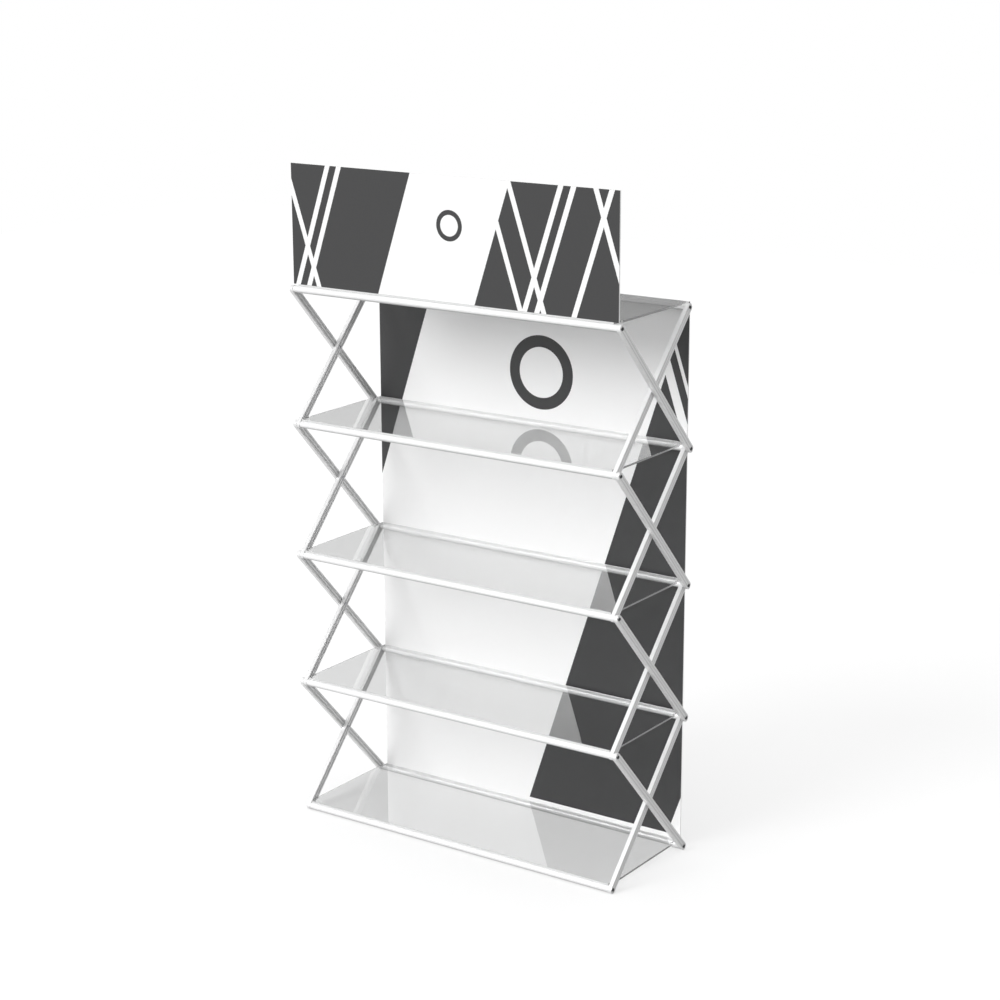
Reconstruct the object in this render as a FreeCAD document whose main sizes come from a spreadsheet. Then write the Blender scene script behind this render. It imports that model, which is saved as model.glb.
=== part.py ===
# Folding display stand: an aluminium X-frame of four storeys with clear shelves,
# a printed header board on the top shelf and a printed back panel behind the frame.
#
# Frame of reference: +Z up, +X to the right seen from the front, +Y to the back.
# The origin is on the floor, under the middle of the stand. Sizes are in millimetres.

import FreeCAD, Part
import os
import Sketcher

doc = FreeCAD.newDocument("display_stand")

# Driving sizes: name, value and what it is. Each is a cell of the sheet.
DRIVING = [
    ("outer_width", 1000.0, "over the outer faces of the outer arms"),
    ("stand_depth", 333.0, "front tube axis to rear tube axis"),
    ("arm_pitch", 488.0, "between the two end pivots of an arm"),
    ("arm_width", 20.0, "width of the flat bar, also its round ends"),
    ("arm_thick", 10.4, "thickness of the flat bar"),
    ("groove_width", 4.6, "each of the two grooves along a face"),
    ("groove_rib", 3.4, "rib left between the two grooves"),
    ("groove_depth", 0.9, "depth of a groove"),
    ("stud_dia", 10.0, "pivot stud, one piece with its arm"),
    ("stud_play", 0.2, "added to the stud for the holes and tubes that take it"),
    ("stud_grip", 14.0, "length of stud inside a tube"),
    ("tube_dia", 18.0, "outside of a cross tube"),
    ("shelf_side_gap", 6.6, "between the side of a shelf and the outer arms"),
    ("shelf_overhang", 2.0, "shelf past the axis of each tube it lies on"),
    ("shelf_thick", 5.0, "thickness of a shelf"),
    ("shelf_bevel", 0.5, "bevel on the edges of a shelf"),
    ("notch_gap", 2.4, "room between a shelf's corner notch and the arm"),
    ("header_inset", 9.0, "side of the header board inside the outer arms' outer faces"),
    ("header_high", 310.0, "height of the header"),
    ("header_thick", 4.0, "thickness of the header"),
    ("bracket_leg", 28.0, "each leg of a header bracket"),
    ("bracket_width", 30.0, "width of a header bracket"),
    ("bracket_thick", 2.0, "thickness of a header bracket"),
    ("bracket_spread", 600.0, "between the two brackets"),
    ("panel_inset", 18.0, "side of the back panel inside the outer arms' outer faces"),
    ("panel_clearance", 0.6, "between the panel and the round ends of the arms"),
    ("panel_thick", 3.0, "thickness of the panel"),
    ("panel_rise", 12.0, "top of the panel above the top tubes' axes"),
    ("panel_floor_gap", 3.0, "panel's lower edge above the floor"),
    ("strip_high", 6.0, "adhesive strip between a rear tube and the panel"),
    ("strip_inset", 17.0, "end of a strip inside the side of the panel"),
]

# Number of storeys, each with one outer and one inner pair of arms.
STOREYS = 4

# Places of an arm's two end pivots along it, by the sign of the end.
END_PLACES = {-1: "-arm_pitch / 2", 1: "arm_pitch / 2"}

# Sizes that follow from the driving ones, in the sheet's own formulas.
DERIVED = [
    ("storey_high", "sqrt(arm_pitch * arm_pitch - stand_depth * stand_depth)"),
    ("open_angle", "acos(stand_depth / arm_pitch)"),
    ("end_radius", "arm_width / 2"),
    ("strip_thick", "end_radius + panel_clearance - tube_dia / 2"),
    ("panel_front", "stand_depth + end_radius + panel_clearance"),
    ("front_y", "-(panel_front + panel_thick - end_radius) / 2"),
    ("rear_y", "front_y + stand_depth"),
    ("outer_face", "outer_width / 2"),
    ("outer_inside", "outer_face - arm_thick"),
    ("inner_inside", "outer_inside - arm_thick"),
    ("stud_hole", "stud_dia + stud_play"),
    ("shelf_seat", "end_radius + tube_dia / 2"),
    ("shelf_side", "outer_inside - shelf_side_gap"),
    ("header_side", "outer_face - header_inset"),
    ("panel_side", "outer_face - panel_inset"),
    ("strip_side", "panel_side - strip_inset"),
    ("notch_x", "inner_inside - notch_gap"),
    ("notch_reach", "(tube_dia / 2 + shelf_thick) / tan(open_angle) + end_radius / sin(open_angle)"),
    ("notch_depth", "shelf_overhang + notch_reach + notch_gap"),
    ("top_level", "end_radius + %d * storey_high" % STOREYS),
]


def write_sheet():
    """Put the driving and the derived sizes into the sheet, one named cell each."""
    sheet = doc.addObject("Spreadsheet::Sheet", "Sizes")
    row = 1
    for name, value, meaning in DRIVING:
        sheet.set("A%d" % row, str(value))
        sheet.setAlias("A%d" % row, name)
        sheet.set("B%d" % row, meaning)
        row += 1
    for name, formula in DERIVED:
        sheet.set("A%d" % row, "=" + formula)
        sheet.setAlias("A%d" % row, name)
        row += 1
    doc.recompute()
    return sheet


sheet = write_sheet()
NAMES = sorted([entry[0] for entry in DRIVING + DERIVED], key=len, reverse=True)


def bound(formula):
    """A formula of sheet names, written for use outside the sheet."""
    text = ""
    word = ""
    for letter in formula + " ":
        if letter.isalnum() or letter == "_":
            word += letter
            continue
        text += ("Sizes." + word if word in NAMES else word) + letter
        word = ""
    return text.strip()


def number(formula):
    """The present value of a formula of sheet names."""
    value = sheet.evalExpression(formula)
    return float(getattr(value, "Value", value))


def new_body(name):
    """An empty body whose label names its file."""
    body = doc.addObject("PartDesign::Body", name)
    body.Label = name
    return body


def origin_part(body, role):
    """The origin plane or axis of a body that has the given role."""
    for feature in body.Origin.OriginFeatures:
        if feature.Role == role:
            return feature


def new_sketch(body, role, name, offset="0"):
    """A sketch on one of the body's origin planes, moved along its normal by offset."""
    sketch = body.newObject("Sketcher::SketchObject", name)
    sketch.AttachmentSupport = [(origin_part(body, role), "")]
    sketch.MapMode = "FlatFace"
    if offset != "0":
        sketch.setExpression("AttachmentOffset.Base.z", bound(offset))
    return sketch


def fix_point(sketch, element, end, across, up):
    """Hold one point of a sketch element at two formulas."""
    for kind, formula, axis in (("DistanceX", across, -2), ("DistanceY", up, -1)):
        if formula == "0":
            sketch.addConstraint(Sketcher.Constraint("PointOnObject", element, end, axis))
            continue
        index = sketch.addConstraint(
            Sketcher.Constraint(kind, -1, 1, element, end, number(formula)))
        sketch.setExpression("Constraints[%d]" % index, bound(formula))


def draw_polygon(sketch, corners):
    """A closed outline of straight lines through corners given as pairs of formulas."""
    points = [FreeCAD.Vector(number(across), number(up), 0) for across, up in corners]
    first = sketch.GeometryCount
    count = len(points)
    for index in range(count):
        line = Part.LineSegment(points[index], points[(index + 1) % count])
        sketch.addGeometry(line, False)
    for index in range(count):
        following = first + (index + 1) % count
        sketch.addConstraint(Sketcher.Constraint("Coincident", first + index, 2, following, 1))
    for index, (across, up) in enumerate(corners):
        fix_point(sketch, first + index, 1, across, up)


def draw_rectangle(sketch, left, right, low, high):
    """A rectangle between four formulas."""
    draw_polygon(sketch, [(left, low), (right, low), (right, high), (left, high)])


def draw_circle(sketch, across, up, diameter):
    """A circle at two formulas, with its diameter bound to a third."""
    centre = FreeCAD.Vector(number(across), number(up), 0)
    circle = Part.Circle(centre, FreeCAD.Vector(0, 0, 1), number(diameter) / 2)
    index = sketch.addGeometry(circle, False)
    fix_point(sketch, index, 3, across, up)
    size = sketch.addConstraint(Sketcher.Constraint("Diameter", index, number(diameter)))
    sketch.setExpression("Constraints[%d]" % size, bound(diameter))


def draw_slot(sketch):
    """The outline of an arm: two parallel edges joined by half circles about the end pivots."""
    reach = number("arm_pitch / 2")
    radius = number("end_radius")
    up = FreeCAD.Vector(0, 0, 1)
    right_end = Part.Circle(FreeCAD.Vector(reach, 0, 0), up, radius)
    left_end = Part.Circle(FreeCAD.Vector(-reach, 0, 0), up, radius)
    quarter = 1.5707963267948966
    sketch.addGeometry(Part.ArcOfCircle(right_end, -quarter, quarter), False)
    sketch.addGeometry(Part.ArcOfCircle(left_end, quarter, 3 * quarter), False)
    top_edge = Part.LineSegment(FreeCAD.Vector(reach, radius, 0), FreeCAD.Vector(-reach, radius, 0))
    low_edge = Part.LineSegment(FreeCAD.Vector(-reach, -radius, 0), FreeCAD.Vector(reach, -radius, 0))
    sketch.addGeometry(top_edge, False)
    sketch.addGeometry(low_edge, False)
    sketch.addConstraint(Sketcher.Constraint("Tangent", 0, 2, 2, 1))
    sketch.addConstraint(Sketcher.Constraint("Tangent", 2, 2, 1, 1))
    sketch.addConstraint(Sketcher.Constraint("Tangent", 1, 2, 3, 1))
    sketch.addConstraint(Sketcher.Constraint("Tangent", 3, 2, 0, 1))
    fix_point(sketch, 0, 3, "arm_pitch / 2", "0")
    fix_point(sketch, 1, 3, "-arm_pitch / 2", "0")
    size = sketch.addConstraint(Sketcher.Constraint("Radius", 0, radius))
    sketch.setExpression("Constraints[%d]" % size, bound("end_radius"))


def add_pad(body, sketch, name, length, reverse=False):
    """Raise a sketch into a solid by a formula's length."""
    pad = body.newObject("PartDesign::Pad", name)
    pad.Profile = sketch
    pad.setExpression("Length", bound(length))
    pad.Reversed = reverse
    doc.recompute()
    return pad


def add_pocket(body, sketch, name, depth, reverse):
    """Cut a sketch into the body, and stop if it cut nothing."""
    before = body.Tip.Shape.Volume
    pocket = body.newObject("PartDesign::Pocket", name)
    pocket.Profile = sketch
    pocket.setExpression("Length", bound(depth))
    pocket.Reversed = reverse
    doc.recompute()
    if pocket.Shape.Volume > before - 0.001:
        raise RuntimeError("%s of %s cuts nothing" % (name, body.Label))
    return pocket


def add_studs(body, name, places, reach, side):
    """Round studs at places along an arm that stand out of its inward face by reach."""
    sign = "" if side > 0 else "-"
    circles = new_sketch(body, "YZ_Plane", name + "_circles", sign + "arm_thick / 2")
    for place in places:
        draw_circle(circles, place, "0", "stud_dia")
    return add_pad(body, circles, name, "arm_thick / 2 + " + reach, reverse=side > 0)


def make_arm(name, side, outer, alone, lean, axis_y, axis_z):
    """One flat arm, drawn about its middle pivot and leaned back or forward by lean.

    side is 1 on the right and -1 on the left. alone gives the ends, as signs along the
    arm's length, where no second arm shares the tube. Outer arms carry the studs that
    inner arms turn on. At an end alone, either kind has a short stud of its own.
    """
    sign = "" if side > 0 else "-"
    body = new_body(name)
    outline = new_sketch(body, "YZ_Plane", name + "_outline")
    draw_slot(outline)
    add_pad(body, outline, name + "_bar", "arm_thick", reverse=side < 0)

    for face, offset in (("inward", "0"), ("outward", sign + "arm_thick")):
        grooves = new_sketch(body, "YZ_Plane", name + "_" + face + "_lines", offset)
        far = "arm_pitch / 2 + arm_width"
        low = "groove_rib / 2"
        high = "groove_rib / 2 + groove_width"
        draw_rectangle(grooves, "-(" + far + ")", far, low, high)
        draw_rectangle(grooves, "-(" + far + ")", far, "-(" + high + ")", "-(" + low + ")")
        into_positive = (face == "inward") == (side > 0)
        add_pocket(body, grooves, name + "_" + face + "_grooves", "groove_depth", into_positive)

    shared = [END_PLACES[end] for end in (-1, 1) if end not in alone]
    single = [END_PLACES[end] for end in alone]
    if outer:
        add_studs(body, name + "_middle_stud", ["0"], "arm_thick", side)
        add_studs(body, name + "_long_studs", shared, "arm_thick + stud_grip", side)
    else:
        circles = new_sketch(body, "YZ_Plane", name + "_hole_circles")
        for place in ["0"] + shared:
            draw_circle(circles, place, "0", "stud_hole")
        add_pocket(body, circles, name + "_holes", "arm_thick", side > 0)
    if single:
        add_studs(body, name + "_short_studs", single, "stud_grip", side)

    body.Placement.Rotation = FreeCAD.Rotation(FreeCAD.Vector(lean, 0, 0), number("open_angle"))
    body.setExpression("Placement.Rotation.Angle", bound("open_angle"))
    inside = "outer_inside" if outer else "inner_inside"
    body.setExpression("Placement.Base.x", bound(sign + inside))
    body.setExpression("Placement.Base.y", bound(axis_y))
    body.setExpression("Placement.Base.z", bound(axis_z))
    return body


def place_body(body, axis_y, axis_z):
    """Put a body's X axis on the line at the two formulas."""
    body.setExpression("Placement.Base.y", bound(axis_y))
    body.setExpression("Placement.Base.z", bound(axis_z))


def make_tube(name, tube_end, axis_y, axis_z):
    """A cross tube between the arms, turned about its axis, with a bore for their studs."""
    body = new_body(name)
    profile = new_sketch(body, "XY_Plane", name + "_profile")
    draw_rectangle(profile, "-" + tube_end, tube_end, "stud_hole / 2", "tube_dia / 2")
    turned = body.newObject("PartDesign::Revolution", name + "_turned")
    turned.Profile = profile
    turned.ReferenceAxis = (profile, ["H_Axis"])
    turned.Angle = 360
    place_body(body, axis_y, axis_z)
    return body


def make_shelf(name, level):
    """A clear sheet with a notch at each corner, lying on the front and rear tubes."""
    body = new_body(name)
    outline = new_sketch(body, "XY_Plane", name + "_outline")
    side = "shelf_side"
    front = "(front_y - shelf_overhang)"
    back = "(rear_y + shelf_overhang)"
    notch_front = front + " + notch_depth"
    notch_back = back + " - notch_depth"
    draw_polygon(outline, [
        ("-notch_x", front),
        ("notch_x", front),
        ("notch_x", notch_front),
        (side, notch_front),
        (side, notch_back),
        ("notch_x", notch_back),
        ("notch_x", back),
        ("-notch_x", back),
        ("-notch_x", notch_back),
        ("-" + side, notch_back),
        ("-" + side, notch_front),
        ("-notch_x", notch_front),
    ])
    sheet_pad = add_pad(body, outline, name + "_sheet", "shelf_thick")
    bevel = body.newObject("PartDesign::Chamfer", name + "_bevel")
    rims = []
    for index, edge in enumerate(sheet_pad.Shape.Edges):
        if edge.BoundBox.ZMax - edge.BoundBox.ZMin < 1e-6:
            rims.append("Edge%d" % (index + 1))
    bevel.Base = (sheet_pad, rims)
    bevel.setExpression("Size", bound("shelf_bevel"))
    body.setExpression("Placement.Base.z", bound("shelf_seat + %d * storey_high" % level))
    return body


def make_header():
    """The header board, standing on the top shelf above the front tube."""
    body = new_body("header_board")
    outline = new_sketch(body, "XZ_Plane", "header_outline", "header_thick / 2")
    draw_rectangle(outline, "-header_side", "header_side", "0", "header_high")
    add_pad(body, outline, "header_sheet", "header_thick", reverse=True)
    place_body(body, "front_y", "top_level + tube_dia / 2 + shelf_thick")
    return body


def make_brackets():
    """Two angle brackets between the back of the header and the top shelf."""
    body = new_body("header_brackets")
    outline = new_sketch(body, "YZ_Plane", "bracket_outline", "(bracket_spread - bracket_width) / 2")
    draw_polygon(outline, [
        ("0", "0"),
        ("bracket_leg", "0"),
        ("bracket_leg", "bracket_thick"),
        ("bracket_thick", "bracket_thick"),
        ("bracket_thick", "bracket_leg"),
        ("0", "bracket_leg"),
    ])
    angle = add_pad(body, outline, "bracket_angle", "bracket_width")
    twin = body.newObject("PartDesign::Mirrored", "bracket_twin")
    twin.Originals = [angle]
    twin.MirrorPlane = (origin_part(body, "YZ_Plane"), [""])
    body.Tip = twin
    place_body(body, "front_y + header_thick / 2", "top_level + tube_dia / 2 + shelf_thick")
    return body


def make_panel():
    """The back panel, behind all the rear tubes."""
    body = new_body("back_panel")
    outline = new_sketch(body, "XZ_Plane", "panel_outline")
    draw_rectangle(outline, "-panel_side", "panel_side",
                   "panel_floor_gap", "top_level + panel_rise")
    add_pad(body, outline, "panel_sheet", "panel_thick", reverse=True)
    body.setExpression("Placement.Base.y", bound("front_y + panel_front"))
    return body


def make_strips():
    """Adhesive strips that hold the panel to the back of the rear tubes."""
    body = new_body("panel_strips")
    outline = new_sketch(body, "XZ_Plane", "strip_outline")
    draw_rectangle(outline, "-strip_side", "strip_side", "-strip_high / 2", "strip_high / 2")
    strip = add_pad(body, outline, "strip_pad", "strip_thick", reverse=True)
    rise = body.newObject("PartDesign::LinearPattern", "strip_rise")
    rise.Originals = [strip]
    rise.Direction = (origin_part(body, "Z_Axis"), [""])
    rise.setExpression("Length", bound("%d * storey_high" % STOREYS))
    rise.Occurrences = STOREYS + 1
    body.Tip = rise
    place_body(body, "rear_y + tube_dia / 2", "end_radius")
    return body


def level_axis(level):
    """Height of the tube axes of one level, as a formula."""
    return "end_radius + %d * storey_high" % level


def build_arms():
    """Outer and inner arms of every storey, left and right.

    Outer arms lean from the front at the top to the back at the foot, inner arms the
    other way. Only at the floor and at the very top is an end without a partner.
    """
    arms = []
    for storey in range(1, STOREYS + 1):
        middle_y = "front_y + stand_depth / 2"
        middle_z = "end_radius + %.1f * storey_high" % (storey - 0.5)
        at_foot = storey == 1
        at_top = storey == STOREYS
        outer_alone = [1] * at_foot + [-1] * at_top
        inner_alone = [-1] * at_foot + [1] * at_top
        for word, side in (("left", -1), ("right", 1)):
            outer_name = "outer_arm_%d_%s" % (storey, word)
            inner_name = "inner_arm_%d_%s" % (storey, word)
            arms.append(make_arm(outer_name, side, True, outer_alone, -1, middle_y, middle_z))
            arms.append(make_arm(inner_name, side, False, inner_alone, 1, middle_y, middle_z))
    return arms


def build_tubes():
    """Front and rear tubes of every level.

    They end at the inner arms, but the top front tube and the lowest rear tube,
    where there are only outer arms, reach to those.
    """
    tubes = []
    for level in range(STOREYS + 1):
        front_end = "outer_inside" if level == STOREYS else "inner_inside"
        rear_end = "outer_inside" if level == 0 else "inner_inside"
        tubes.append(make_tube("front_tube_%d" % level, front_end, "front_y", level_axis(level)))
        tubes.append(make_tube("rear_tube_%d" % level, rear_end, "rear_y", level_axis(level)))
    return tubes


def check_document():
    """Stop if any object of the document failed to compute."""
    for item in doc.Objects:
        if "Invalid" in item.State or "Error" in item.State:
            raise RuntimeError("%s failed: %s" % (item.Label, item.State))


def write_parts(parts):
    """Check each sub-part and write it to its own STEP file."""
    os.makedirs("parts", exist_ok=True)
    for part in parts:
        shape = part.Shape
        if shape.isNull() or not shape.isValid():
            raise RuntimeError("%s has no valid shape" % part.Label)
        shape.exportStep("parts/%s.step" % part.Label)
        print("%-24s %3d solids %12.1f mm3" % (part.Label, len(shape.Solids), shape.Volume))


parts = build_arms() + build_tubes()
parts += [make_shelf("shelf_%d" % level, level) for level in range(STOREYS + 1)]
parts += [make_header(), make_brackets(), make_panel(), make_strips()]
doc.recompute()
check_document()
write_parts(parts)
print("storey height %.2f, opening angle %.2f" % (number("storey_high"), number("open_angle")))
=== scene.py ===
# %% [markdown]
# # Folding display stand with clear shelves
# The real stand is an aluminium X-frame of four storeys. Five clear shelves lie on its
# cross tubes, a printed header board stands on the top shelf and a printed panel closes
# the back. The shapes could be modelled again here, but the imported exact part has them
# already, at the right sizes. So this notebook gives them their finishes and adds what
# the exact part leaves out: the print, the small screw heads and the studio.

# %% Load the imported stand
import math
import bpy
from mathutils import Matrix, Vector


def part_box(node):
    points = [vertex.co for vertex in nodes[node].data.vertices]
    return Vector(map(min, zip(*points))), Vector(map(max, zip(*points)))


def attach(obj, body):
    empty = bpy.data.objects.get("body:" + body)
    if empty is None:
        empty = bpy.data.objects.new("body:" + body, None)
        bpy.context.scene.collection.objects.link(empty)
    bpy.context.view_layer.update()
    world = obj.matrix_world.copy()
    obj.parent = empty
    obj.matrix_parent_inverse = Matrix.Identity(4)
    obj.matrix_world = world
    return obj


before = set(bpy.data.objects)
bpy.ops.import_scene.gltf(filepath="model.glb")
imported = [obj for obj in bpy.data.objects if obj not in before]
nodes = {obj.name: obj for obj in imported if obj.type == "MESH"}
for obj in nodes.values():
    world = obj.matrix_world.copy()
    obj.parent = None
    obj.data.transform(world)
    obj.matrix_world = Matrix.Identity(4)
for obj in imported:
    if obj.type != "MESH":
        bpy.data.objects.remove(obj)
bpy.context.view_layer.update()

# %% [markdown]
# ## Camera
# A camera could be moved about until the picture looks right. Here it was solved instead:
# the photograph shows all five levels of the frame, and each level is a rectangle whose
# size is known, so their corners give the camera's place, direction and focal length. It
# is a long lens, almost six metres away, and that keeps the uprights nearly parallel.

# %% Camera of the photograph
CAMERA_PLACE = Vector((3.28225, -4.69571, 2.46013))
YAW = -0.605288
PITCH = -0.264313
ROLL = -0.003745
FOCAL_PIXELS = 2303.95
PHOTO_PIXELS = 1000
SENSOR_WIDTH = 36.0


def put_in_scene(name, data):
    """An object with that data, linked into the scene."""
    item = bpy.data.objects.new(name, data)
    bpy.context.scene.collection.objects.link(item)
    return item


view = Vector((math.sin(YAW) * math.cos(PITCH), math.cos(YAW) * math.cos(PITCH),
               math.sin(PITCH)))
level_right = view.cross(Vector((0, 0, 1))).normalized()
level_up = level_right.cross(view)
right = level_right * math.cos(ROLL) + level_up * math.sin(ROLL)
up = level_up * math.cos(ROLL) - level_right * math.sin(ROLL)
camera_turn = Matrix((right, up, -view)).transposed().to_4x4()

camera_data = bpy.data.cameras.new("photo_camera")
camera_data.sensor_width = SENSOR_WIDTH
camera_data.lens = FOCAL_PIXELS / PHOTO_PIXELS * SENSOR_WIDTH
camera = put_in_scene("photo_camera", camera_data)
camera.matrix_world = Matrix.Translation(CAMERA_PLACE) @ camera_turn
bpy.context.scene.camera = camera
print("lens:", round(camera_data.lens, 2), "mm, place:", tuple(round(part, 2) for part in CAMERA_PLACE))

# %% [markdown]
# ## Helpers for finishes
# A finish could be an image wrapped around each piece. Procedural nodes need no image and
# stay sharp at any size, so each finish here is a Principled BSDF with a few nodes before
# it. These helpers make a node with its values, mix two colours and do sums on sockets.

# %% Nodes, colours and sums
def new_finish(name):
    """A material with its node tree and its main shader."""
    material = bpy.data.materials.new(name)
    material.use_nodes = True
    tree = material.node_tree
    return material, tree, tree.nodes["Principled BSDF"]


def add_node(tree, kind, settings=None, sockets=None):
    """A node with its settings and its input values filled in."""
    node = tree.nodes.new(kind)
    for key, value in (settings or {}).items():
        setattr(node, key, value)
    for key, value in (sockets or {}).items():
        node.inputs[key].default_value = value
    return node


def grey(level, blue=1.0):
    """A grey colour, with its blue part raised or lowered by a factor."""
    return (level, level, level * blue, 1.0)


def mix_colours(tree, share, first, second):
    """The first colour where share is 0, the second where it is 1, and the result's socket."""
    mixed = add_node(tree, "ShaderNodeMix", {"data_type": "RGBA"}, {"A": first, "B": second})
    tree.links.new(share, mixed.inputs["Factor"])
    return mixed.outputs["Result"]


def maths(tree, operation, *values):
    """A math node on sockets or plain numbers, and the socket of its result."""
    node = add_node(tree, "ShaderNodeMath", {"operation": operation})
    for index, value in enumerate(values):
        if isinstance(value, (int, float)):
            node.inputs[index].default_value = value
        else:
            tree.links.new(value, node.inputs[index])
    return node.outputs[0]


print("finishes to make for", len(nodes), "nodes")

# %% [markdown]
# ### Patterns
# No real surface is the same all over. A noise texture gives the small changes, and its
# coordinates are the object's own metres, so a scale of 1000 gives features of about a
# millimetre. Unwrapped coordinates would stretch on the long thin bars, and these don't.

# %% Noise patterns
NOISE_LOW = 0.3
NOISE_HIGH = 0.7


def object_pattern(tree, scale, turn=(0, 0, 0), detail=3.0):
    """Noise in the object's own metres, stretched by scale and turned by degrees."""
    place = add_node(tree, "ShaderNodeTexCoord")
    turned = add_node(tree, "ShaderNodeMapping", {"vector_type": "POINT"},
                      {"Rotation": [math.radians(angle) for angle in turn]})
    stretched = add_node(tree, "ShaderNodeMapping", {"vector_type": "POINT"}, {"Scale": scale})
    noise = add_node(tree, "ShaderNodeTexNoise", {}, {"Scale": 1.0, "Detail": detail})
    tree.links.new(place.outputs["Object"], turned.inputs["Vector"])
    tree.links.new(turned.outputs["Vector"], stretched.inputs["Vector"])
    tree.links.new(stretched.outputs["Vector"], noise.inputs["Vector"])
    return noise.outputs[0]


def vary_roughness(tree, shader, pattern, low, high):
    """Roughness that follows the pattern from low to high."""
    spread = add_node(tree, "ShaderNodeMapRange", {},
                      {"From Min": NOISE_LOW, "From Max": NOISE_HIGH, "To Min": low, "To Max": high})
    tree.links.new(pattern, spread.inputs["Value"])
    tree.links.new(spread.outputs[0], shader.inputs["Roughness"])


def dress(names, material):
    """Give the material to the exact nodes of these names."""
    for name in names:
        slots = nodes[name].material_slots
        if not slots:
            nodes[name].data.materials.append(material)
        for slot in slots:
            slot.material = material
    print(material.name, "on", len(names), "nodes")

# %% [markdown]
# ## Aluminium
# The arms and tubes are drawn aluminium with a satin anodised skin. A plain grey metal
# would look like plastic here. Drawing leaves hair-fine lines along each bar, so the noise
# is stretched along it, and for a leaning arm the pattern is first turned by the arm's own
# angle. The lines change the roughness and the tone a little, which is enough at this
# distance, where a bump would only glitter. The anodised skin scatters much of the light,
# so the finish is only partly metallic.

# %% Satin aluminium
LEAN = 46.97
ACROSS = 900
ALONG = 12
ARM_TONE = 0.82
TUBE_TONE = 0.88
LINE_TONE = 0.985
ANODISED_METAL = 0.28


def satin_aluminium(name, turn, scale, tone):
    """Drawn aluminium whose lines run along the bar, and the socket of its colour."""
    material, tree, shader = new_finish(name)
    shader.inputs["Metallic"].default_value = ANODISED_METAL
    shader.inputs["Specular IOR Level"].default_value = 0.5
    lines = object_pattern(tree, scale, turn)
    vary_roughness(tree, shader, lines, 0.3, 0.34)
    colour = mix_colours(tree, lines, grey(tone * LINE_TONE), grey(tone, 1.005))
    tree.links.new(colour, shader.inputs["Base Color"])
    return material, colour


outer_metal, outer_colour = satin_aluminium("outer_arm_aluminium", (LEAN, 0, 0),
                                            (ACROSS, ALONG, ACROSS), ARM_TONE)
inner_metal, inner_colour = satin_aluminium("inner_arm_aluminium", (-LEAN, 0, 0),
                                            (ACROSS, ALONG, ACROSS), ARM_TONE)
tube_metal, tube_colour = satin_aluminium("tube_aluminium", (0, 0, 0),
                                          (ALONG, ACROSS, ACROSS), TUBE_TONE)
dress([name for name in nodes if name.startswith("outer_arm")], outer_metal)
dress([name for name in nodes if name.startswith("inner_arm")], inner_metal)
dress([name for name in nodes if "_tube_" in name], tube_metal)

# %% [markdown]
# ### Sides of the arms
# On the arms the wide outward side has painted shade at half strength, and the floors of
# the two grooves have the full painted shade, so they read darker as shaded faces do. Each
# could have a material of its own, but the arm is one solid. So the surface's own direction
# and its distance from the middle of the stand tell the sides apart. The planes of the bars
# are measured on the exact part.

# %% Painted shade on sides and grooves
# Painted shade: half strength on the arms' outward sides, full strength on the groove floors.
PAINTED_SIDE_SHARE = 0.5
PAINTED_ARM_SHADE = 0.7
GROOVE_DEPTH = 0.0009
FLAT_ENOUGH = 0.1

outer_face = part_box("outer_arm_1_right")[1][0]
inner_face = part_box("inner_arm_2_right")[1][0]
inner_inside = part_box("inner_arm_2_right")[0][0]


def from_object(tree, output, axis):
    """One axis of the object's own coordinates or of its surface direction."""
    place = add_node(tree, "ShaderNodeTexCoord")
    parts = add_node(tree, "ShaderNodeSeparateXYZ")
    tree.links.new(place.outputs[output], parts.inputs[0])
    return parts.outputs[axis]


def paint_shade(tree, colour, share, shade):
    """Paint shade into the finish's colour: multiply it by shade, as far as share says."""
    shaded = add_node(tree, "ShaderNodeMix", {"data_type": "RGBA", "blend_type": "MULTIPLY"},
                      {"B": grey(shade)})
    tree.links.new(share, shaded.inputs["Factor"])
    tree.links.new(colour, shaded.inputs["A"])
    tree.links.new(shaded.outputs["Result"], tree.nodes["Principled BSDF"].inputs["Base Color"])


def paint_side_and_groove_shade(tree, colour, near, far):
    """Paint shade on an arm's outward side in part and on the floors of its grooves fully."""
    across = from_object(tree, "Object", "X")
    outward = maths(tree, "MULTIPLY", from_object(tree, "Normal", "X"), maths(tree, "SIGN", across))
    wide_side = maths(tree, "COMPARE", maths(tree, "ABSOLUTE", outward), 1.0, FLAT_ENOUGH)
    outward_side = maths(tree, "COMPARE", outward, 1.0, FLAT_ENOUGH)
    sunk = maths(tree, "COMPARE", maths(tree, "ABSOLUTE", across),
                 (near + far) / 2, (far - near - GROOVE_DEPTH) / 2)
    share = maths(tree, "MAXIMUM", maths(tree, "MULTIPLY", outward_side, PAINTED_SIDE_SHARE),
                  maths(tree, "MULTIPLY", wide_side, sunk))
    paint_shade(tree, colour, share, PAINTED_ARM_SHADE)


paint_side_and_groove_shade(outer_metal.node_tree, outer_colour, inner_face, outer_face)
paint_side_and_groove_shade(inner_metal.node_tree, inner_colour, inner_inside, inner_face)
print("arm planes:", [round(plane, 4) for plane in (inner_inside, inner_face, outer_face)])

# %% [markdown]
# ### Undersides of the tubes
# The tubes have painted shade along their undersides, a grey line as a shaded underside
# would show. A second material would end in a hard edge, so the painted shade fades in
# with the direction of the surface: none on the sides, full where it faces down.

# %% Painted shade on undersides
# Painted shade: the tubes' colour darkens where the surface faces down.
PAINTED_UNDERSIDE_SHADE = 0.45
FADE_START = -0.3
FADE_END = -0.85

tree = tube_metal.node_tree
underside = add_node(tree, "ShaderNodeMapRange", {},
                     {"From Min": FADE_START, "From Max": FADE_END, "To Min": 0.0, "To Max": 1.0})
tree.links.new(from_object(tree, "Normal", "Z"), underside.inputs["Value"])
paint_shade(tree, tube_colour, underside.outputs[0], PAINTED_UNDERSIDE_SHADE)
print("tubes fade to", PAINTED_UNDERSIDE_SHADE, "of their tone underneath")

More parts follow.
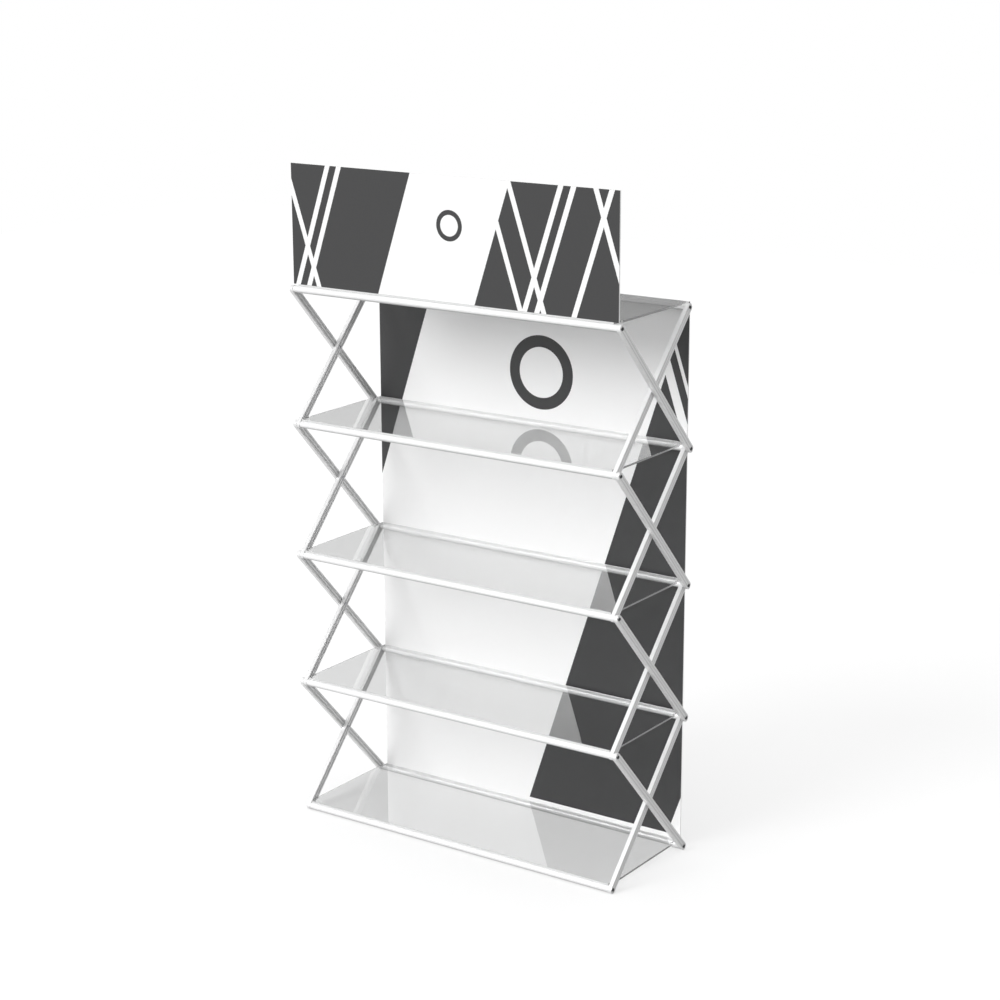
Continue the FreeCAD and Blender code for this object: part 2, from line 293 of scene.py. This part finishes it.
# %% [markdown]
# ## Clear sheet
# The shelves are cast acrylic, 5 mm thick. Mixing glass and diffuse shaders could look
# like it, but a Principled BSDF with transmission bends and mirrors light as the real
# sheet does: seen this flat, it mirrors the back panel about as strongly as it lets it
# through. The edges were sawn and sanded, so the transmission falls where the surface
# faces sideways. A thin volume absorption tints the sheet. Exact shadows through glass
# come out black, so shadow rays pass with a slight loss and the panel stays lit.

# %% Clear sheet
SHEET_TONE = (0.89, 0.893, 0.893, 1.0)
ACRYLIC_IOR = 1.49
SANDED_SIDES = (0.3, 0.75, 0.0)
SHEET_TINT = (0.78, 0.82, 0.82, 1.0)
TINT_DENSITY = 0.6
SHADOW_PASS = 0.76


def clear_plastic(name):
    """Clear acrylic with sanded edges, with its node tree and main shader."""
    material, tree, shader = new_finish(name)
    shader.inputs["Base Color"].default_value = SHEET_TONE
    shader.inputs["IOR"].default_value = ACRYLIC_IOR
    place = add_node(tree, "ShaderNodeTexCoord")
    facing = add_node(tree, "ShaderNodeVectorMath", {"operation": "ABSOLUTE"})
    sanded = add_node(tree, "ShaderNodeVectorMath", {"operation": "DOT_PRODUCT"}, {1: SANDED_SIDES})
    clear = add_node(tree, "ShaderNodeMath", {"operation": "SUBTRACT", "use_clamp": True}, {0: 1.0})
    tree.links.new(place.outputs["Normal"], facing.inputs[0])
    tree.links.new(facing.outputs["Vector"], sanded.inputs[0])
    tree.links.new(sanded.outputs["Value"], clear.inputs[1])
    tree.links.new(clear.outputs[0], shader.inputs["Transmission Weight"])
    vary_roughness(tree, shader, object_pattern(tree, (3, 9, 3)), 0.0, 0.02)
    return material, tree, shader


def tint_and_shadow(tree, shader):
    """Tint the inside of the sheet and let shadow rays pass."""
    inside = add_node(tree, "ShaderNodeVolumeAbsorption", {},
                      {"Color": SHEET_TINT, "Density": TINT_DENSITY})
    passing = add_node(tree, "ShaderNodeBsdfTransparent", {}, {"Color": grey(SHADOW_PASS)})
    path = add_node(tree, "ShaderNodeLightPath")
    choice = add_node(tree, "ShaderNodeMixShader")
    output = tree.nodes["Material Output"]
    tree.links.new(path.outputs["Is Shadow Ray"], choice.inputs["Fac"])
    tree.links.new(shader.outputs["BSDF"], choice.inputs[1])
    tree.links.new(passing.outputs["BSDF"], choice.inputs[2])
    tree.links.new(choice.outputs["Shader"], output.inputs["Surface"])
    tree.links.new(inside.outputs["Volume"], output.inputs["Volume"])


shelf_plastic, tree, shader = clear_plastic("shelf_acrylic")
tint_and_shadow(tree, shader)
dress([name for name in nodes if name.startswith("shelf_")], shelf_plastic)

# %% [markdown]
# ## Board, strips and brackets
# The header and the back panel are white display board with a matt laminate. Close up the
# laminate has the faint orange peel of film on card. That could be modelled, but it is
# hundredths of a millimetre high, so a fine bump and a slight change of roughness are
# enough. The same finish in other tones serves for the ink, for the foam strips behind
# the panel and for the milky plastic of the header's brackets.

# %% Laminated board
PEEL_HEIGHT = 0.000015
PEEL_SCALE = (420, 420, 420)
CLOUD_SCALE = (5, 5, 5)
CLOUD_TONE = 0.985
ROUGHNESS_SPREAD = 0.05


def matt_board(name, tone, roughness):
    """Laminated board, or a like matt surface of another tone."""
    material, tree, shader = new_finish(name)
    peel = object_pattern(tree, PEEL_SCALE, detail=4.0)
    clouds = object_pattern(tree, CLOUD_SCALE)
    vary_roughness(tree, shader, peel, roughness - ROUGHNESS_SPREAD, roughness + ROUGHNESS_SPREAD)
    cloudy = [part * CLOUD_TONE for part in tone] + [1.0]
    colour = mix_colours(tree, clouds, cloudy, list(tone) + [1.0])
    tree.links.new(colour, shader.inputs["Base Color"])
    bump = add_node(tree, "ShaderNodeBump", {}, {"Strength": 1.0, "Distance": PEEL_HEIGHT})
    tree.links.new(peel, bump.inputs["Height"])
    tree.links.new(bump.outputs["Normal"], shader.inputs["Normal"])
    return material


white_board = matt_board("white_board", (0.9, 0.9, 0.9), 0.5)
white_ink = matt_board("white_stripe", (0.9, 0.9, 0.9), 0.5)
dark_ink = matt_board("charcoal_ink", (0.037, 0.037, 0.038), 0.55)
foam_strip = matt_board("foam_strip", (0.75, 0.75, 0.74), 0.8)
milky_plastic = matt_board("milky_plastic", (0.78, 0.79, 0.79), 0.25)
dress(["header_board", "back_panel"], white_board)
dress(["panel_strips"], foam_strip)
dress(["header_brackets"], milky_plastic)

# %% [markdown]
# ## Print
# The print is plain fields of charcoal with slanted edges, crossed by thin white stripes.
# An image texture could carry it, but flat meshes have sharp edges at any distance. A
# field or a stripe is the part of the board's rectangle between two slanted lines, so one
# small helper that cuts an outline along a line makes all of them.

# %% Cut an outline
SLANT = 0.334


def cut(outline, slope, place, keep):
    """The outline's part right (keep 1) or left (keep -1) of the line x = slope * z + place."""
    kept = []
    for index, (x, z) in enumerate(outline):
        before_x, before_z = outline[index - 1]
        here = keep * (x - slope * z - place)
        before = keep * (before_x - slope * before_z - place)
        if here * before < 0:
            share = before / (before - here)
            kept.append((before_x + share * (x - before_x), before_z + share * (z - before_z)))
        if here >= 0:
            kept.append((x, z))
    return kept


def stripes(outline, slope, places, width):
    """The bands of that width right of each place, inside the outline."""
    return [cut(cut(outline, slope, place, 1), slope, place + width, -1) for place in places]


def board_outline(name, foot=None):
    """The front rectangle of a board as corners in x and z, and the y of its front face."""
    low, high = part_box(name)
    bottom = low[2] if foot is None else foot
    corners = [(low[0], bottom), (high[0], bottom), (high[0], high[2]), (low[0], high[2])]
    return corners, low[1]


header, header_face = board_outline("header_board")
print("header corners:", [(round(x, 3), round(z, 3)) for x, z in header])

# %% [markdown]
# The ink itself is a film a tenth of a millimetre in front of the board. The stripes lie
# as much again in front of the charcoal, so that no two layers share the same depth.

# %% Make a film of ink
INK_STEP = 0.0001
RING_STEPS = 96


def ring(centre, outside, inside):
    """Four-sided pieces that make up a flat ring."""
    pieces = []
    for step in range(RING_STEPS):
        turns = [2 * math.pi * (step + more) / RING_STEPS for more in (0, 1)]
        corners = [(outside, turns[0]), (outside, turns[1]), (inside, turns[1]), (inside, turns[0])]
        pieces.append([(centre[0] + reach * math.cos(turn), centre[1] + reach * math.sin(turn))
                       for reach, turn in corners])
    return pieces


def print_film(name, outlines, y, material):
    """Flat ink outlines, given in x and z, on the plane at y, facing the front."""
    points = []
    faces = []
    for outline in outlines:
        if len(outline) < 3:
            continue
        faces.append(tuple(range(len(points), len(points) + len(outline))))
        points += [(x, y, z) for x, z in outline]
    mesh = bpy.data.meshes.new(name)
    mesh.from_pydata(points, [], faces)
    mesh.validate()
    mesh.materials.append(material)
    film = put_in_scene(name, mesh)
    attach(film, "root")
    print(name, len(faces), "faces")

# %% [markdown]
# ### Header print
# Two charcoal fields leave a white slanted field between them, which carries a plain
# ring. Stripes lean both ways and cross on the charcoal. Those that lean left and those
# that lean right are two films at two depths, because crossing stripes on one plane would
# flicker where they overlap.

# %% Header print
HEADER_FIELD_LEFT = -0.7027
HEADER_FIELD_RIGHT = -0.4072
LEFT_LEANING_WIDTH = 0.0150
RIGHT_LEANING_WIDTH = 0.0145

header_left = cut(header, SLANT, HEADER_FIELD_LEFT, -1)
header_right = cut(header, SLANT, HEADER_FIELD_RIGHT, 1)
header_ring = ring((0.003, 1.640), outside=0.0385, inside=0.0265)
print_film("header_charcoal", [header_left, header_right] + header_ring,
           header_face - INK_STEP, dark_ink)

left_leaning = stripes(header_left, SLANT, (-0.968, -0.932), LEFT_LEANING_WIDTH)
left_leaning += stripes(header_right, SLANT, (-0.268, -0.232, -0.126), LEFT_LEANING_WIDTH)
print_film("header_stripes_left_leaning", left_leaning,
           header_face - 2 * INK_STEP, white_ink)

right_leaning = stripes(header_left, -SLANT, (0.070,), RIGHT_LEANING_WIDTH)
right_leaning += stripes(header_right, -SLANT, (0.690, 0.758, 1.006), RIGHT_LEANING_WIDTH)
print_film("header_stripes_right_leaning", right_leaning,
           header_face - 3 * INK_STEP, white_ink)

# %% [markdown]
# ### Panel print
# The back panel continues the same fields: a narrow wedge at the top left and a large
# field that widens towards the floor. A white margin stays along the lower edge, and a
# slanted cut takes the field's lower right corner. The same helpers make it all.

# %% Panel print
PRINT_FOOT = 0.031
WEDGE_EDGE = -0.774
FIELD_EDGE = -0.0038
CORNER_SLANT = 0.358
CORNER_EDGE = 0.432

panel, panel_face = board_outline("back_panel", PRINT_FOOT)
panel_wedge = cut(panel, SLANT, WEDGE_EDGE, -1)
panel_field = cut(cut(panel, SLANT, FIELD_EDGE, 1), CORNER_SLANT, CORNER_EDGE, -1)
panel_ring = ring((0.043, 1.219), outside=0.098, inside=0.067)
print_film("panel_charcoal", [panel_wedge, panel_field] + panel_ring,
           panel_face - INK_STEP, dark_ink)

panel_stripes = stripes(panel_field, -SLANT, (0.836,), 0.026)
panel_stripes += stripes(panel_field, -SLANT, (0.884,), 0.010)
print_film("panel_stripes", panel_stripes, panel_face - 2 * INK_STEP, white_ink)

# %% [markdown]
# ## Screw heads
# Each pivot ends in a small socket screw, blackened at the tubes and plain steel where
# two arms cross. In the exact part the pivots are studs of the arms, and the heads, like
# other small fasteners, belong here. The steel is worn in small patches, so a noise mixes
# a darker and a lighter tone.

# %% Steel of the screws
STEEL_METAL = 0.9
PATCH_SCALE = (600, 600, 600)


def screw_metal(name, dark, light):
    """Steel with worn, slightly brighter patches."""
    material, tree, shader = new_finish(name)
    shader.inputs["Metallic"].default_value = STEEL_METAL
    patches = object_pattern(tree, PATCH_SCALE)
    vary_roughness(tree, shader, patches, 0.32, 0.5)
    colour = mix_colours(tree, patches, grey(dark, 1.05), grey(light, 1.04))
    tree.links.new(colour, shader.inputs["Base Color"])
    print(name, "from", dark, "to", light)
    return material


blackened_steel = screw_metal("blackened_steel", 0.05, 0.1)
plain_steel = screw_metal("plain_steel", 0.42, 0.55)

# %% [markdown]
# ### Shape of a head
# A head could be a cylinder with a hole cut by a boolean. Rings of points joined by faces
# are lighter and always close: from the foot in the grooves, over the rounded rim, to the
# six-sided socket and its floor.

# %% Rings of a head
HEAD_STEPS = 24
HEAD_PROFILE = [(-0.0009, 0.0043), (0.0009, 0.0043), (0.0013, 0.0040), (0.0015, 0.0035)]
SOCKET_FLATS = 0.0020
SOCKET_TOP = 0.0015
SOCKET_FLOOR = 0.0004


def socket_reach(turn):
    """Distance from the middle to the side of a six-sided socket at an angle."""
    off_flat = (turn + math.pi / 6) % (math.pi / 3) - math.pi / 6
    return SOCKET_FLATS / math.cos(off_flat)


def head_rings():
    """Rings of (height, reach, turn), from the foot to the socket's floor."""
    turns = [2 * math.pi * step / HEAD_STEPS for step in range(HEAD_STEPS)]
    rings = [[(height, reach, turn) for turn in turns] for height, reach in HEAD_PROFILE]
    for height in (SOCKET_TOP, SOCKET_FLOOR):
        rings.append([(height, socket_reach(turn), turn) for turn in turns])
    return rings


print("points per head:", sum(len(circle) for circle in head_rings()))

# %% Join the rings
def add_head(points, faces, place, outward):
    """One head at a place, with its top towards outward along X (1 or -1)."""
    start = len(points)
    rings = head_rings()
    for circle in rings:
        for height, reach, turn in circle:
            points.append((place[0] + outward * height,
                           place[1] + reach * math.cos(turn),
                           place[2] + reach * math.sin(turn) * outward))
    for level in range(len(rings) - 1):
        for step in range(HEAD_STEPS):
            after = (step + 1) % HEAD_STEPS
            low_ring = start + level * HEAD_STEPS
            high_ring = low_ring + HEAD_STEPS
            faces.append((low_ring + step, low_ring + after, high_ring + after, high_ring + step))
    floor_ring = start + (len(rings) - 1) * HEAD_STEPS
    faces.append(tuple(range(floor_ring, floor_ring + HEAD_STEPS)))
    faces.append(tuple(range(start + HEAD_STEPS - 1, start - 1, -1)))


def screw_group(name, heads, metal):
    """All heads of one kind as one piece."""
    points = []
    faces = []
    for place, outward in heads:
        add_head(points, faces, place, outward)
    mesh = bpy.data.meshes.new(name)
    mesh.from_pydata(points, [], faces)
    mesh.materials.append(metal)
    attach(put_in_scene(name, mesh), "root")
    print(name, len(heads), "heads,", len(faces), "faces")

# %% [markdown]
# ### Places of the heads
# The places could be typed in, but they come from the exact tubes and arms: a tube's axis
# is a pivot, and the face under the head is the outer arm's, or the inner arm's at the two
# tubes where that is the only one. So the heads follow the frame if its sizes change.

# %% Corner screws
LEVELS = range(5)
LONE_LEVEL = {"front": 0, "rear": 4}


def middle(name):
    """Centre of an exact node's box."""
    low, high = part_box(name)
    return [(low[axis] + high[axis]) / 2 for axis in range(3)]


corner_heads = []
for level in LEVELS:
    for column in ("front", "rear"):
        axis = middle("%s_tube_%d" % (column, level))
        face = inner_face if level == LONE_LEVEL[column] else outer_face
        for side in (-1, 1):
            corner_heads.append(((side * face, axis[1], axis[2]), side))
screw_group("corner_screws", corner_heads, blackened_steel)

# %% Crossing screws
STOREYS = range(1, 5)

crossing_heads = []
for storey in STOREYS:
    axis = middle("inner_arm_%d_right" % storey)
    for side in (-1, 1):
        crossing_heads.append(((side * inner_inside, axis[1], axis[2]), -side))
screw_group("crossing_screws", crossing_heads, plain_steel)

# %% [markdown]
# ## Floor
# The photograph has a white surround with only a faint shadow on the floor. A floor lit
# to white would need so much light that the stand burns out. So it is a pale matt plane
# with some white of its own for camera, mirror and glass rays: it reaches white where it
# is lit, and keeps the shadow.

# %% Floor
FLOOR_HALF = 9.0
FLOOR_TONE = 0.36
FLOOR_GLOW = 0.57


def seen_rays(tree):
    """1 for rays that look at the surround: from the camera, a mirror or through glass."""
    path = add_node(tree, "ShaderNodeLightPath")
    looking = maths(tree, "MAXIMUM", path.outputs["Is Camera Ray"], path.outputs["Is Glossy Ray"])
    return maths(tree, "MAXIMUM", looking, path.outputs["Is Transmission Ray"])


floor_corners = [(-FLOOR_HALF, -FLOOR_HALF, 0), (FLOOR_HALF, -FLOOR_HALF, 0),
                 (FLOOR_HALF, FLOOR_HALF, 0), (-FLOOR_HALF, FLOOR_HALF, 0)]
floor_mesh = bpy.data.meshes.new("floor")
floor_mesh.from_pydata(floor_corners, [], [(0, 1, 2, 3)])
put_in_scene("floor", floor_mesh)

floor_paint, tree, shader = new_finish("floor_paint")
shader.inputs["Base Color"].default_value = grey(FLOOR_TONE)
shader.inputs["Roughness"].default_value = 0.9
shader.inputs["Specular IOR Level"].default_value = 0.0
shader.inputs["Emission Color"].default_value = grey(1.0)
tree.links.new(maths(tree, "MULTIPLY", seen_rays(tree), FLOOR_GLOW), shader.inputs["Emission Strength"])
floor_mesh.materials.append(floor_paint)
print("floor:", 2 * FLOOR_HALF, "m wide")

# %% [markdown]
# ## World
# The world is white where it is looked at and grey for the light it gives. A sheet seen
# this flat mirrors what stands behind it just above the horizon. In the photograph that is
# the dim upper part of the room, and the shelves look grey for it. A dark wall in the
# scene would throw its own shade, so the world fades upwards for mirrored rays alone.

# %% World
LIGHT_LEVEL = 0.68
ROOM_DIM = 0.25
DIM_START = 0.02
DIM_END = 0.12

world = bpy.data.worlds.new("studio")
bpy.context.scene.world = world
world.use_nodes = True
tree = world.node_tree
backdrop = tree.nodes["Background"]
backdrop.inputs["Color"].default_value = grey(1.0)

room = add_node(tree, "ShaderNodeMapRange", {},
                {"From Min": DIM_START, "From Max": DIM_END, "To Min": 1.0, "To Max": ROOM_DIM})
tree.links.new(from_object(tree, "Generated", "Z"), room.inputs["Value"])
mirrored = add_node(tree, "ShaderNodeMapRange", {}, {"To Min": LIGHT_LEVEL})
tree.links.new(seen_rays(tree), mirrored.inputs["Value"])
tree.links.new(room.outputs[0], mirrored.inputs["To Max"])
path = add_node(tree, "ShaderNodeLightPath")
strength = add_node(tree, "ShaderNodeMapRange", {}, {"To Max": 1.0})
tree.links.new(path.outputs["Is Camera Ray"], strength.inputs["Value"])
tree.links.new(mirrored.outputs[0], strength.inputs["To Min"])
tree.links.new(strength.outputs[0], backdrop.inputs["Strength"])
print("world:", LIGHT_LEVEL, "as light,", ROOM_DIM, "at the top of a mirrored room")

# %% [markdown]
# ## Soft suns
# An area lamp near the stand would leave the floor uneven. A sun is even everywhere, and a
# wide angle makes its shadows soft. The key comes from the front left and leaves the right
# sides of the arms grey. The overhead one brightens the tops of the tubes, also of the
# rear tube that the header board shades from the key.

# %% Soft suns
def soft_sun(name, source, energy, spread):
    """A sun that shines from the direction of source, spread over some degrees."""
    data = bpy.data.lights.new(name, "SUN")
    data.energy = energy
    data.angle = math.radians(spread)
    sun = put_in_scene(name, data)
    sun.rotation_euler = Vector(source).to_track_quat("Z", "Y").to_euler()
    print(name, energy, "over", spread, "degrees")


soft_sun("key_sun", source=(-0.36, -0.84, 0.52), energy=1.9, spread=36)
soft_sun("overhead_sun", source=(-0.08, -0.12, 1.0), energy=1.1, spread=50)

# %% [markdown]
# ## Finish
# Blender's usual view transform softens colours like film. The view must keep them as
# written, so it is set to Standard.

# %% Finish
bpy.context.scene.view_settings.view_transform = "Standard"
